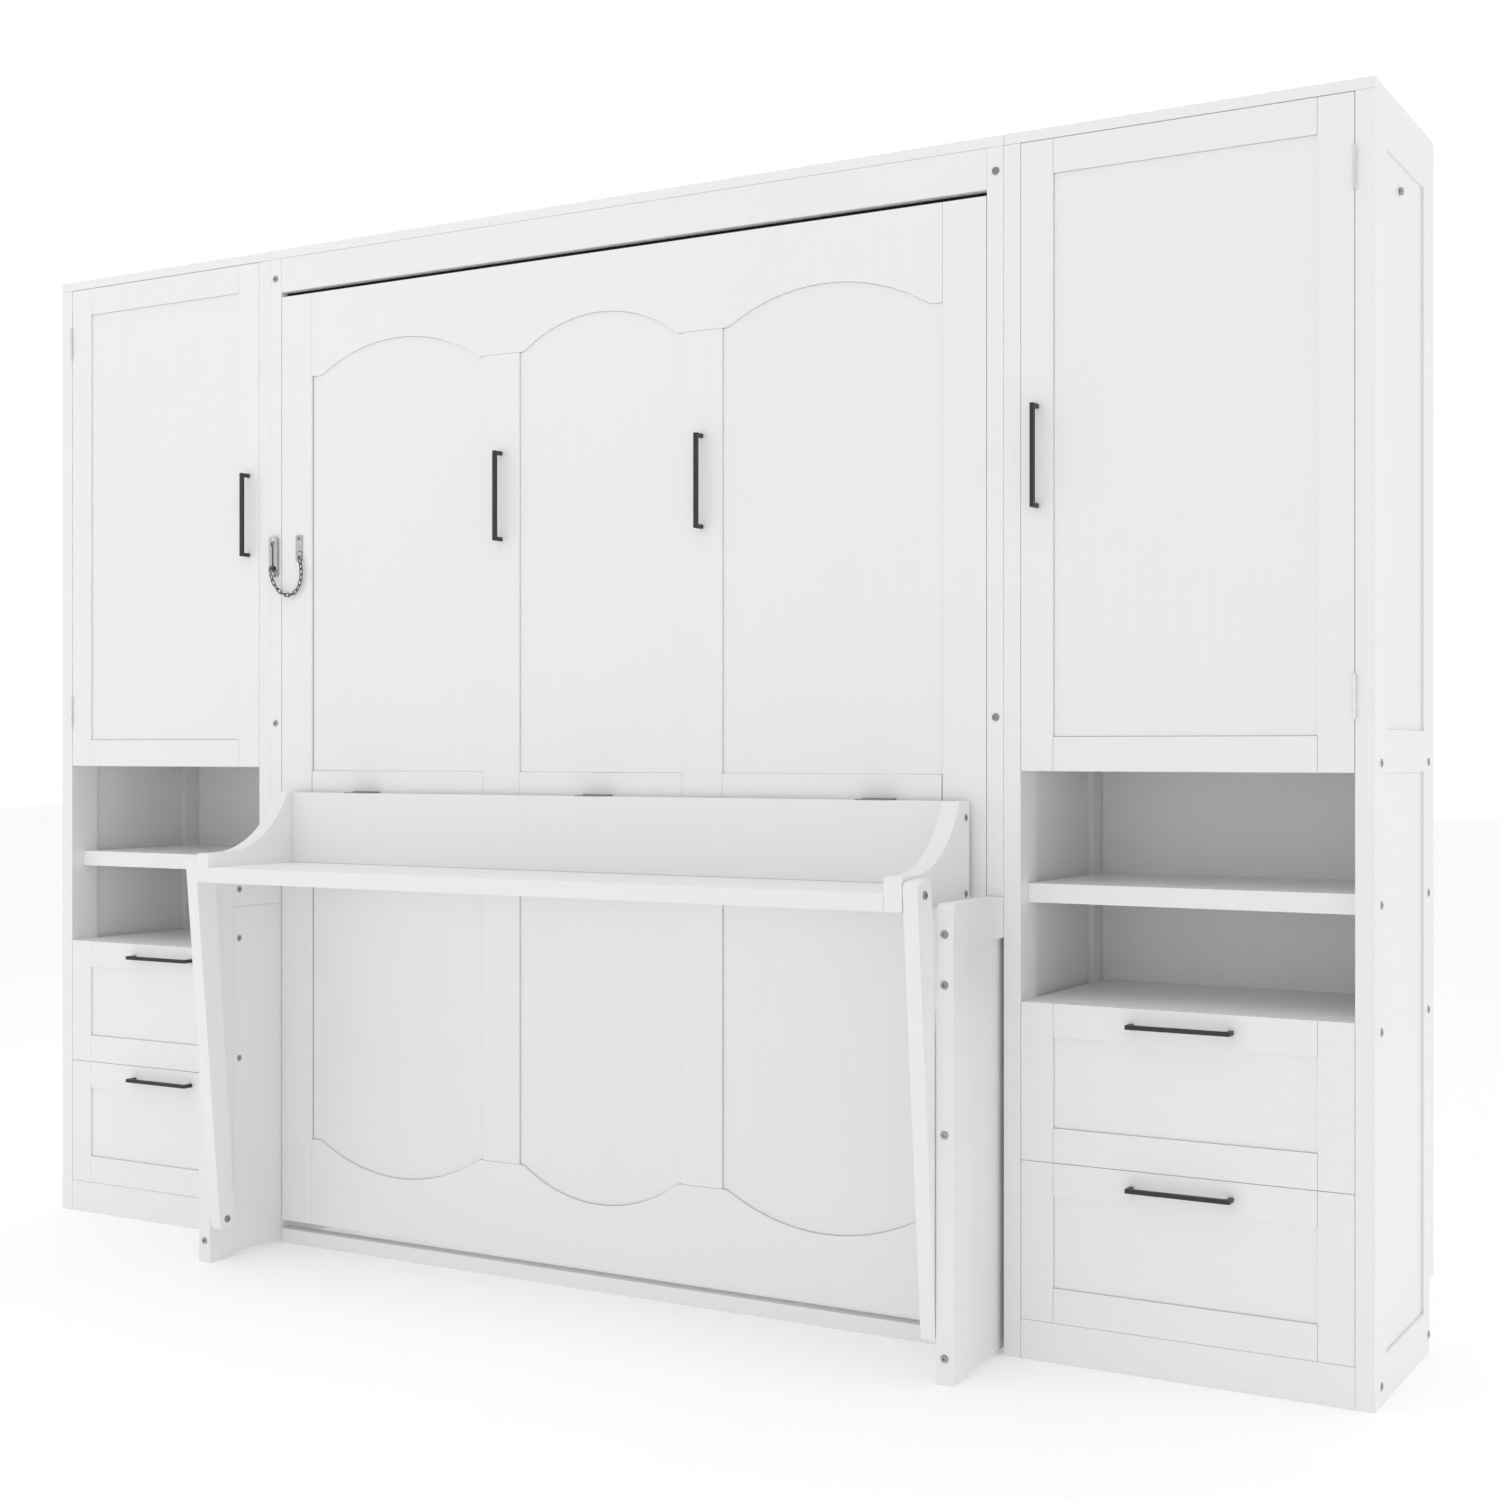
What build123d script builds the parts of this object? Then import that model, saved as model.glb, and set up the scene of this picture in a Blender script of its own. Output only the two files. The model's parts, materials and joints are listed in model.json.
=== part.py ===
"""Murphy wall bed for a queen mattress, between two storage cabinets, with a levelling front shelf.

Millimetres. +X runs along the wall, +Y goes into the wall and +Z is up. The origin is on the floor,
under the middle of the whole unit. The bed face folds down about the bed pivot, two parallel arms
keep the front shelf level, and the shelf ends up as the foot of the lowered bed.
"""

import os
from math import hypot

from build123d import *

os.makedirs("parts", exist_ok=True)

SIDES = {"left": -1, "right": 1}

# Overall unit
WIDTH = 3120.0
HEIGHT = 2230.0
FRONT = -78.0  # plane of the doors, drawers and posts
BACK = 372.0  # plane of the wall
TOP_BOARD = 20.0
UNDER_TOP = HEIGHT - TOP_BOARD
SIDE = 33.0  # thickness of every upright side
BOARD = 35.0  # thickness of shelves and floors
BOARD_INSET = 1.0  # gap between a shelf or floor and the leaf in front of it
FACING = 20.0  # thickness of doors, drawer fronts and front rails
JOINT = 0.4  # hairline between boards that are glued or bolted together
REVEAL = 0.8  # gap round a door or a drawer front

# Uprights, as distances from the middle of the unit
HALF = WIDTH / 2
CENTRE_OUT = 892.0  # outer face of the middle unit
CENTRE_IN = CENTRE_OUT - SIDE
CABINET_IN = CENTRE_OUT + SIDE  # clear inside of a cabinet, near the middle
CABINET_OUT = HALF - SIDE  # clear inside of a cabinet, at the outer side

# Frame-and-panel sides
FRONT_STILE = 78.0
BACK_STILE = 80.0
SIDE_RAILS = ((0.0, 80.0), (1066.0, 1141.0), (2130.0, UNDER_TOP))
RECESS_OUT = 5.0
RECESS_IN = 10.0
BASEBOARD_DEPTH = 36.0
BASEBOARD_HEIGHT = 128.0
BASEBOARD_SLOPE = 8.0

# Levels in a cabinet
PLINTH_TOP = 72.0
DRAWER_SPLIT = 361.0
NICHE_FLOOR = 649.0
NICHE_SHELF = 862.0
WARDROBE_FLOOR = 1067.0 + BOARD
NICHE_TOP = 1067.0
BOTTOM_BOARD = 50.0
SHELF_SETBACK = 36.0
BACK_PANEL = FRONT + 418.0
BACK_PANEL_THICK = 6.0

# Doors and drawer fronts
LEAF_STILE = 62.0
LEAF_RECESS = 5.0
LEAF_PANEL = 9.0
HINGE_GAP = 1.2
HINGE_PLATE = 0.5
HINGE_REACH = 24.0
HINGE_TALL = 76.0
HINGE_BOTTOMS = (1158.0, 2044.0)
HINGE_KNUCKLES = 5
KNUCKLE_R = 3.0
PIN_R = 1.4
PIN_X = CABINET_OUT - HINGE_GAP / 2
PIN_Y = FRONT - 3.3

# Bar handles
BAR = 8.0
BAR_LENGTH = 188.0
BAR_REACH = 26.0
HANDLE_Z = 1638.0
DOOR_HANDLE_X = 957.0
DRAWER_HANDLE_DROP = 31.0

# Drawer boxes and runners
BOX_SIDE = 12.0
BOX_TALL = 200.0
BOX_DEEP = 380.0
BOX_LIFT = 22.0
RUNNER_GAP = 13.0
RUNNER_TALL = 45.0
RUNNER_DEEP = 350.0
RUNNER_SLOT = 30.0
RUNNER_BAR = 28.0
RUNNER_BAR_THICK = 8.0
RUNNER_CHANNEL = 11.0
RUNNER_WEB = 3.0
RUNNER_FRONT = FRONT + 35.0
RUNNER_BAR_FRONT = FRONT + 45.0

# Bed face
FACE_HALF = 857.5
FACE_BOTTOM = 51.0
FACE_TOP = 2123.0
FACE_STILE = 88.0
MULLION = (200.0, 293.0)
ARCH_SHOULDER = 1937.5
ARCH_TOP = 2001.0
LOW_SHOULDER = 240.0
LOW_ARCH = 177.0
MID_RAIL = (890.0, 1060.0)
ARCH_FILLET = 24.0
# Each bay of the face: left, right, middle of its arch and half the arch's width
BAYS = (
    (-768.0, -293.0, -523.5, 220.0),
    (-200.0, 200.0, 0.0, 190.0),
    (293.0, 768.0, 523.5, 220.0),
)

# Bed box behind the face
BOX_HALF = 790.0
BOX_RAIL = 20.0
BOX_END = 15.0
BOX_BOTTOM = 53.0
BOX_TOP = 2121.0
BOX_BACK = FRONT + 175.0
SLAT_Y = FRONT + 60.0
SLAT_THICK = 18.0
SLAT_WIDE = 70.0
SLATS = 14
LEDGER = 25.0
BEAM_WIDE = 60.0

# Fixed rails of the middle unit
HEADER_BOTTOM = 2134.0
BASE_RAIL_TALL = 32.0
BACK_RAILS = ((60.0, 160.0), (1070.0, 1170.0), (2110.0, UNDER_TOP))
BACK_RAIL_THICK = 20.0
WALL_HOLE_R = 4.0
WALL_HOLES = (-600.0, 600.0)
WALL_HOLE_Z = 2160.0

# Lower sides of the middle unit, which reach out in front
WING_FRONT = FRONT - 221.0
WING_TALL = 838.0
WING_STILE = 70.0
WING_RAIL = 75.0
WING_LIFT = 8.0
WING_RECESS = 10.0
WING_CORNER = 12.0

# Linkage, as (y, z) in the plane of the fold
BED_PIVOT = (FRONT + 60.0, 252.0)
ARM_PIVOT = (FRONT - 200.0, 95.0)
SHELF_PIVOT = (FRONT - 4.0, 1012.0)
ARM_TOP = (
    ARM_PIVOT[0] + SHELF_PIVOT[0] - BED_PIVOT[0],
    ARM_PIVOT[1] + SHELF_PIVOT[1] - BED_PIVOT[1],
)

# Front shelf
CHEEK_OUT = 828.0
CHEEK = 35.0
SHELF_BACK = FRONT - 9.0
SHELF_FRONT = FRONT - 294.0
SHELF_BOTTOM = 826.0
SHELF_BOARD = 32.0
CHEEK_TOP = 1012.0
CHEEK_FLAT = 45.0
CURVE_CENTRE = (FRONT - 243.0, 1092.0)
NOSE_TOP = 887.0
NOSE_CORNER = 10.0
SHELF_BACKBOARD = 28.0
SHELF_HINGES_X = (-610.0, 0.0, 640.0)
SHELF_HINGE_WIDE = 70.0
SHELF_LEAF = 1.5
SHELF_KNUCKLE_R = 3.6
SHELF_LEAF_DROP = 32.0
SHELF_LEAF_TOP = 6.0

# Arms
ARM_X = (829.0, 857.5)
ARM_TOP_HALF = 29.0
ARM_BOTTOM_HALF = 22.0
ARM_PAST_TOP = 26.0
ARM_PAST_BOTTOM = 22.0
ARM_CORNER = 13.0
ARM_BORE = 5.3
PIVOT_SHANK = 5.0
PIVOT_PROUD = 3.0
PIVOT_BITE = 25.0  # how far a pivot bolt goes into the board behind the arm
PIVOT_BORE = 28.0

# Bolts
HEAD_R = 7.0
HEAD_DEEP = 3.0
HEAD_PROUD = 1.6
HEAD_FIT = 0.2
SHANK_R = 3.0
SOCKET = 3.0
SOCKET_DEEP = 2.6
BOLT_LONG = 60.0
NUT_LONG = 14.0
OUTER_BOLTS_Y = (FRONT + 45.0, FRONT + 407.0)
OUTER_BOLTS_Z = (33.0, 630.0, 844.0, 1084.0)
POST_BOLTS_X = 876.0
POST_BOLTS_Z = (1166.0, 2166.0)
WING_BOLTS_X = 875.0
WING_BOLTS_Z = (47.0, 436.0, 697.0, 785.0)
WING_NUTS_Y = WING_FRONT + 89.0
WING_NUTS_Z = (431.0, 694.0, 801.0)
CHEEK_BOLTS_Y = FRONT - 24.0
CHEEK_BOLTS_Z = (982.0, 842.0)

# Clothes rails
RAIL_Y = 197.0
RAIL_Z = 2083.0
RAIL_R = 12.5
RAIL_BORE = 11.0

# Bed pivots
PLATE_R = 37.0
PLATE_THICK = 4.0
BOSS_R = 15.0
BOSS_LONG = 14.0
PIVOT_PIN_R = 8.0
PIVOT_FIT = 0.3
PIN_END = 1.0  # how far a pin stops short of the next piece
FLANGE = 90.0
FLANGE_SHIFT = 7.0
FLANGE_THICK = 5.0

# Gas struts beside the bed box
STRUT_X = 826.0
STRUT_TOP = (FRONT + 392.0, 929.0)
STRUT_FOOT = (BED_PIVOT[0] + 62.0, BED_PIVOT[1] - 155.0)
TUBE_R = 14.0
TUBE_BORE = 11.5
TUBE_START = 22.0
TUBE_END = 600.0
GLAND = 20.0
ROD_R = 5.0
PISTON_R = 11.0
PISTON_AT = 560.0
PISTON_LONG = 14.0
EYE_R = 12.0
EYE_HALF = 7.0
STUD_R = 5.0

# Safety chain
CHAIN_X = -877.0
TRACK = (24.0, 90.0)
TRACK_Z = 1540.0
TRACK_DEEP = 8.0
TRACK_WALL = 1.6
SLOT_WIDE = 6.0
SLOT_BOTTOM = 1508.0
KEYHOLE_Z = 1568.0
KEYHOLE_R = 6.5
SLIDER_Z = 1514.0
BUTTON_LIFT = 5.0
BUTTON_THICK = 4.0
BUTTON_FIT = 0.5
STEM_FIT = 0.4
STEM_LONG = 10.5
KEEPER_THICK = 2.0
RING_R = 5.0
RING_DROP = 5.0
RING_LIFT = 7.0
ANCHOR_X = -805.0
ANCHOR = (20.0, 60.0)
ANCHOR_Z = 1556.0
ANCHOR_THICK = 2.0
STAPLE_R = 6.0
STAPLE_AT = (ANCHOR_X + 2.0, FRONT - 5.0, ANCHOR_Z - 12.0)
LINK_LONG = 18.0
LINK_WIDE = 9.5
WIRE = 2.5
LINK_COUNT = 14
# Middle of the hanging chain, from the slider round to the anchor
CHAIN_LINE = (
    (-876.0, FRONT - 15.0, 1499.0),
    (-866.0, FRONT - 12.0, 1474.0),
    (-846.0, FRONT - 9.0, 1456.0),
    (-821.0, FRONT - 8.0, 1454.0),
    (-801.0, FRONT - 8.0, 1470.0),
    (-793.0, FRONT - 8.0, 1501.0),
    (-799.0, FRONT - 8.0, 1533.0),
)


def slab(x, y, z, mode=Mode.ADD):
    """Adds a block to the open part, or cuts one from it, between two limits on each axis."""
    spans = (x, y, z)
    with Locations(tuple((a + b) / 2 for a, b in spans)):
        Box(*(abs(b - a) for a, b in spans), mode=mode)


def save(builder, name):
    """Labels a finished piece and writes it."""
    builder.part.label = name
    export_step(builder.part, f"parts/{name}.step")


def bolt_planes(points, direction):
    """Planes at the bolt heads' seats, with their normals along the shanks."""
    return [Plane(origin=point, x_dir=(0, 0, 1), z_dir=direction) for point in points]


def drill(planes, length=BOLT_LONG):
    """Bores the open part for the heads and shanks of a set of bolts."""
    for plane in planes:
        with Locations(plane.location):
            Cylinder(HEAD_R + HEAD_FIT, 2 * HEAD_DEEP, mode=Mode.SUBTRACT)
            Cylinder(
                SHANK_R + HEAD_FIT,
                length + HEAD_FIT,
                align=(Align.CENTER, Align.CENTER, Align.MIN),
                mode=Mode.SUBTRACT,
            )


def add_bolts(planes, length=BOLT_LONG, proud=HEAD_PROUD, shank=SHANK_R):
    """Adds socket-head bolts to the open part."""
    for plane in planes:
        with Locations(plane.offset(-proud).location):
            Cylinder(HEAD_R, HEAD_DEEP + proud, align=(Align.CENTER, Align.CENTER, Align.MIN))
            Cylinder(shank, length + proud, align=(Align.CENTER, Align.CENTER, Align.MIN))
        with BuildSketch(plane.offset(-proud)) as socket:
            RegularPolygon(SOCKET, 6)
        extrude(socket.sketch, amount=SOCKET_DEEP, mode=Mode.SUBTRACT)


def outer_bolts(sign):
    """Bolts through a cabinet's outer side into its boards and its clothes rail."""
    rows = [(y, z) for z in OUTER_BOLTS_Z for y in OUTER_BOLTS_Y]
    return bolt_planes([(sign * HALF, y, z) for y, z in rows], (-sign, 0, 0))


def rail_bolt(sign):
    """The single bolt into the end of a clothes rail."""
    return bolt_planes([(sign * HALF, FRONT + RAIL_Y, RAIL_Z)], (-sign, 0, 0))


def post_bolts(sign):
    """Bolts in the front of a centre post."""
    return bolt_planes([(sign * POST_BOLTS_X, FRONT, z) for z in POST_BOLTS_Z], (0, 1, 0))


def wing_bolts(sign):
    """Bolts in the front edge of a lower side."""
    points = [(sign * WING_BOLTS_X, WING_FRONT, z) for z in WING_BOLTS_Z]
    return bolt_planes(points, (0, 1, 0))


def wing_nuts(sign):
    """Round nuts in the inner face of a lower side."""
    points = [(sign * CENTRE_IN, WING_NUTS_Y, z) for z in WING_NUTS_Z]
    return bolt_planes(points, (sign, 0, 0))


def arm_bolts(sign):
    """Bolts that the arms' lower ends turn on."""
    point = (sign * ARM_X[0], *ARM_PIVOT)
    return bolt_planes([point], (sign, 0, 0))


def shelf_pivot_bolts(sign):
    """Bolts that the arms' upper ends turn on."""
    point = (sign * ARM_X[1], *ARM_TOP)
    return bolt_planes([point], (-sign, 0, 0))


def cheek_bolts(sign):
    """Bolts through a shelf cheek into the shelf's back board and board."""
    points = [(sign * CHEEK_OUT, CHEEK_BOLTS_Y, z) for z in CHEEK_BOLTS_Z]
    return bolt_planes(points, (-sign, 0, 0))


def framed_side(name, inner, outer, bolts):
    """A cabinet side of stiles, rails and two recessed panels, notched for a baseboard.

    inner is the face towards the inside of the cabinet, and outer is the face away from it.
    """
    x = (inner, outer)
    outward = 1 if outer > inner else -1
    stile_end = FRONT + FRONT_STILE
    back_start = BACK - BACK_STILE
    panel_x = (inner + outward * RECESS_IN, outer - outward * RECESS_OUT)
    between = (stile_end + JOINT, back_start - JOINT)
    with BuildPart() as side:
        slab(x, (FRONT, stile_end), (0, UNDER_TOP))
        with BuildSketch(Plane.YZ.offset(min(x))):
            with BuildLine():
                Polyline(
                    (back_start, 0),
                    (BACK - BASEBOARD_DEPTH, 0),
                    (BACK - BASEBOARD_DEPTH, BASEBOARD_HEIGHT),
                    (BACK, BASEBOARD_HEIGHT + BASEBOARD_SLOPE),
                    (BACK, UNDER_TOP),
                    (back_start, UNDER_TOP),
                    close=True,
                )
            make_face()
        extrude(amount=abs(outer - inner))
        for low, high in SIDE_RAILS:
            slab(x, between, (low, high))
        for below, above in zip(SIDE_RAILS, SIDE_RAILS[1:]):
            slab(panel_x, between, (below[1] + JOINT, above[0] - JOINT))
        drill(bolts)
    save(side, name)


def cabinet_shell(side, sign):
    """The fixed boards of one side cabinet."""
    bolts = outer_bolts(sign) + rail_bolt(sign)
    framed_side(f"cabinet_outer_side_{side}", sign * CABINET_OUT, sign * HALF, bolts)
    framed_side(f"cabinet_inner_side_{side}", sign * CABINET_IN, sign * CENTRE_OUT, [])
    inside = (sign * (CABINET_IN + JOINT), sign * (CABINET_OUT - JOINT))
    board_y = (FRONT + FACING + BOARD_INSET, BACK_PANEL - JOINT)
    floors = (BOTTOM_BOARD, NICHE_FLOOR, WARDROBE_FLOOR)
    with BuildPart() as boards:
        for top in floors:
            slab(inside, board_y, (top - BOARD, top))
        drill(outer_bolts(sign))
    save(boards, f"cabinet_floors_{side}")

    with BuildPart() as back:
        back_y = (BACK_PANEL, BACK_PANEL + BACK_PANEL_THICK)
        slab(inside, back_y, (BOTTOM_BOARD - BOARD, UNDER_TOP - JOINT))
    save(back, f"cabinet_back_{side}")


def shared_cabinet_pieces():
    """Boards and rails that are alike in both cabinets."""
    with BuildPart() as tops:
        for sign in SIDES.values():
            across = (sign * (CENTRE_OUT + JOINT), sign * HALF)
            slab(across, (FRONT, BACK), (UNDER_TOP + JOINT, HEIGHT))
    save(tops, "cabinet_tops")

    with BuildPart() as plinths:
        for sign in SIDES.values():
            inside = (sign * (CABINET_IN + JOINT), sign * (CABINET_OUT - JOINT))
            slab(inside, (FRONT, FRONT + FACING), (0, PLINTH_TOP))
    save(plinths, "cabinet_plinths")

    with BuildPart() as shelves:
        for sign in SIDES.values():
            slab(
                (sign * (CABINET_IN + JOINT), sign * (CABINET_OUT - JOINT)),
                (FRONT + SHELF_SETBACK, BACK_PANEL - JOINT),
                (NICHE_SHELF - BOARD, NICHE_SHELF),
            )
            drill(outer_bolts(sign))
    save(shelves, "niche_shelves")

    with BuildPart() as rails:
        length = CABINET_OUT - CABINET_IN - 2 * JOINT
        for sign in SIDES.values():
            middle = sign * (CABINET_IN + CABINET_OUT) / 2
            with Locations(Location((middle, FRONT + RAIL_Y, RAIL_Z), (0, 90, 0))):
                Cylinder(RAIL_R, length)
                Cylinder(RAIL_BORE, length - 2 * BOX_SIDE, mode=Mode.SUBTRACT)
            drill(rail_bolt(sign))
    save(rails, "clothes_rails")


def framed_leaf(x0, x1, z0, z1):
    """Adds stiles, rails and a recessed panel, facing the room, to the open part."""
    face = (FRONT, FRONT + FACING)
    slab((x0, x0 + LEAF_STILE), face, (z0, z1))
    slab((x1 - LEAF_STILE, x1), face, (z0, z1))
    inner = (x0 + LEAF_STILE + JOINT, x1 - LEAF_STILE - JOINT)
    slab(inner, face, (z0, z0 + LEAF_STILE))
    slab(inner, face, (z1 - LEAF_STILE, z1))
    panel_y = (FRONT + LEAF_RECESS, FRONT + LEAF_RECESS + LEAF_PANEL)
    slab(inner, panel_y, (z0 + LEAF_STILE + JOINT, z1 - LEAF_STILE - JOINT))


def bar_handle(x, z, upright):
    """Adds a square bar handle with its two feet to the open part."""
    reach = (FRONT - BAR_REACH, FRONT - BAR_REACH + BAR)
    feet = (FRONT - BAR_REACH, FRONT)
    half = BAR_LENGTH / 2
    thick = BAR / 2
    if upright:
        slab((x - thick, x + thick), reach, (z - half, z + half))
        for end in (z - half, z + half - BAR):
            slab((x - thick, x + thick), feet, (end, end + BAR))
    else:
        slab((x - half, x + half), reach, (z - thick, z + thick))
        for end in (x - half, x + half - BAR):
            slab((end, end + BAR), feet, (z - thick, z + thick))


def hinge_half(sign, on_door):
    """Adds the plates and knuckles of one half of a door's two hinges to the open part."""
    step = HINGE_TALL / HINGE_KNUCKLES
    plate_x = CABINET_OUT - HINGE_GAP if on_door else CABINET_OUT - HINGE_PLATE
    plate = (sign * plate_x, sign * (plate_x + HINGE_PLATE))
    for bottom in HINGE_BOTTOMS:
        slab(plate, (FRONT + JOINT, FRONT + HINGE_REACH), (bottom, bottom + HINGE_TALL))
        for number in range(HINGE_KNUCKLES):
            if (number % 2 == 1) != on_door:
                continue
            low = bottom + number * step + JOINT / 2
            high = bottom + (number + 1) * step - JOINT / 2
            slab(plate, (PIN_Y, FRONT + JOINT), (low, high))
            with Locations((sign * PIN_X, PIN_Y, low)):
                Cylinder(KNUCKLE_R, high - low, align=(Align.CENTER, Align.CENTER, Align.MIN))
        with Locations((sign * PIN_X, PIN_Y, bottom + HINGE_TALL / 2)):
            Cylinder(PIN_R + HEAD_FIT, HINGE_TALL + 2 * JOINT, mode=Mode.SUBTRACT)


def doors():
    """Wardrobe doors with their handles and hinges."""
    low = NICHE_TOP + REVEAL
    high = UNDER_TOP - REVEAL
    for side, sign in SIDES.items():
        edges = (sign * (CABINET_IN + REVEAL), sign * (CABINET_OUT - HINGE_GAP))
        with BuildPart() as door:
            framed_leaf(min(edges), max(edges), low, high)
        save(door, f"door_{side}")
        with BuildPart() as handle:
            bar_handle(sign * DOOR_HANDLE_X, HANDLE_Z, True)
        save(handle, f"door_handle_{side}")
        with BuildPart() as leaves:
            hinge_half(sign, True)
        save(leaves, f"door_hinge_leaves_{side}")
    with BuildPart() as post_leaves:
        for sign in SIDES.values():
            hinge_half(sign, False)
            for bottom in HINGE_BOTTOMS:
                with Locations((sign * PIN_X, PIN_Y, bottom + HINGE_TALL / 2)):
                    Cylinder(PIN_R, HINGE_TALL)
    save(post_leaves, "post_hinge_leaves")


def drawers():
    """Drawers with their handles, and the runners on the cabinet sides."""
    levels = {"lower": (PLINTH_TOP, DRAWER_SPLIT), "upper": (DRAWER_SPLIT, NICHE_FLOOR)}
    box_x = (CABINET_IN + RUNNER_GAP, CABINET_OUT - RUNNER_GAP)
    box_y = (FRONT + FACING + JOINT, FRONT + FACING + BOX_DEEP)
    bar_y = (RUNNER_BAR_FRONT, RUNNER_BAR_FRONT + RUNNER_DEEP)
    inner_x = (box_x[0] + BOX_SIDE + JOINT, box_x[1] - BOX_SIDE - JOINT)
    for level, (low, high) in levels.items():
        floor = low + BOX_LIFT
        runner_z = floor + BOX_TALL / 2
        for side, sign in SIDES.items():
            edges = (sign * (CABINET_IN + REVEAL), sign * (CABINET_OUT - REVEAL))
            with BuildPart() as drawer:
                framed_leaf(min(edges), max(edges), low + REVEAL / 2, high - REVEAL / 2)
                for wall in ((box_x[0], box_x[0] + BOX_SIDE), (box_x[1] - BOX_SIDE, box_x[1])):
                    slab([sign * v for v in wall], box_y, (floor, floor + BOX_TALL))
                across = [sign * v for v in inner_x]
                slab(across, (box_y[1] - BOX_SIDE, box_y[1]), (floor, floor + BOX_TALL))
                slab(across, (box_y[0], box_y[1] - BOX_SIDE - JOINT), (floor, floor + BOX_SIDE))
                for edge, outward in ((box_x[0], -1), (box_x[1], 1)):
                    bar = (edge + outward * JOINT, edge + outward * RUNNER_BAR_THICK)
                    z = (runner_z - RUNNER_BAR / 2, runner_z + RUNNER_BAR / 2)
                    slab([sign * v for v in bar], bar_y, z)
            save(drawer, f"drawer_{level}_{side}")
            with BuildPart() as handle:
                middle = sign * (CABINET_IN + CABINET_OUT) / 2
                bar_handle(middle, high - DRAWER_HANDLE_DROP, False)
            save(handle, f"drawer_handle_{level}_{side}")
    with BuildPart() as runners:
        for low, _ in levels.values():
            z = low + BOX_LIFT + BOX_TALL / 2
            for sign in SIDES.values():
                for edge, inward in ((CABINET_IN, 1), (CABINET_OUT, -1)):
                    channel = (edge + inward * JOINT, edge + inward * RUNNER_CHANNEL)
                    groove = (edge + inward * RUNNER_WEB, edge + inward * RUNNER_GAP)
                    span = (RUNNER_FRONT, RUNNER_BAR_FRONT + RUNNER_DEEP + BOX_SIDE)
                    slab(
                        [sign * v for v in channel],
                        span,
                        (z - RUNNER_TALL / 2, z + RUNNER_TALL / 2),
                    )
                    slab(
                        [sign * v for v in groove],
                        (span[0] - JOINT, span[1] + JOINT),
                        (z - RUNNER_SLOT / 2, z + RUNNER_SLOT / 2),
                        mode=Mode.SUBTRACT,
                    )
    save(runners, "drawer_runners")


def centre_sides(side, sign):
    """The two-part side of the middle unit: a deep lower side and the frame that stands on it."""
    x = (sign * CENTRE_IN, sign * (CENTRE_OUT - JOINT))
    low_x = min(x)
    stile_end = WING_FRONT + WING_STILE
    back_start = BACK - BACK_STILE
    with BuildPart() as lower:
        with BuildSketch(Plane.YZ.offset(low_x)):
            with BuildLine():
                Polyline(
                    (WING_FRONT, 0),
                    (stile_end, 0),
                    (stile_end, WING_TALL - WING_RAIL - JOINT),
                    (stile_end, WING_TALL),
                    (WING_FRONT + WING_CORNER, WING_TALL),
                    (WING_FRONT, WING_TALL - WING_CORNER),
                    close=True,
                )
            make_face()
        extrude(amount=SIDE - JOINT)
        corner = [e for e in lower.edges().filter_by(Axis.X) if e.center().Y < stile_end - 1]
        upper_corner = [e for e in corner if e.center().Z > WING_TALL - WING_CORNER - 1]
        fillet(upper_corner, radius=WING_CORNER)
        slab(x, (back_start, BACK), (BASEBOARD_HEIGHT, WING_TALL))
        slab(x, (back_start, BACK - BASEBOARD_DEPTH), (0, BASEBOARD_HEIGHT))
        between = (stile_end + JOINT, back_start - JOINT)
        slab(x, between, (WING_TALL - WING_RAIL, WING_TALL))
        panel_x = (sign * CENTRE_IN, sign * (CENTRE_OUT - WING_RECESS))
        slab(panel_x, between, (WING_LIFT, WING_TALL - WING_RAIL - JOINT))
        drill(wing_bolts(sign))
        drill(wing_nuts(sign), NUT_LONG)
        with Locations(Location((sign * CENTRE_IN, *ARM_PIVOT), (0, 90, 0))):
            Cylinder(PIVOT_SHANK + HEAD_FIT, 2 * PIVOT_BORE, mode=Mode.SUBTRACT)
    save(lower, f"centre_lower_side_{side}")

    post_end = FRONT + WING_STILE
    foot = WING_TALL + JOINT
    rails = ((foot, foot + WING_RAIL), (UNDER_TOP - BACK_STILE, UNDER_TOP))
    with BuildPart() as upper:
        slab(x, (FRONT, post_end), (foot, UNDER_TOP))
        slab(x, (back_start, BACK), (foot, UNDER_TOP))
        between = (post_end + JOINT, back_start - JOINT)
        for low, high in rails:
            slab(x, between, (low, high))
        panel_x = (sign * (CENTRE_IN + RECESS_IN), sign * (CENTRE_OUT - JOINT))
        slab(panel_x, between, (rails[0][1] + JOINT, rails[1][0] - JOINT))
        drill(post_bolts(sign))
    save(upper, f"centre_upper_side_{side}")


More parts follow.
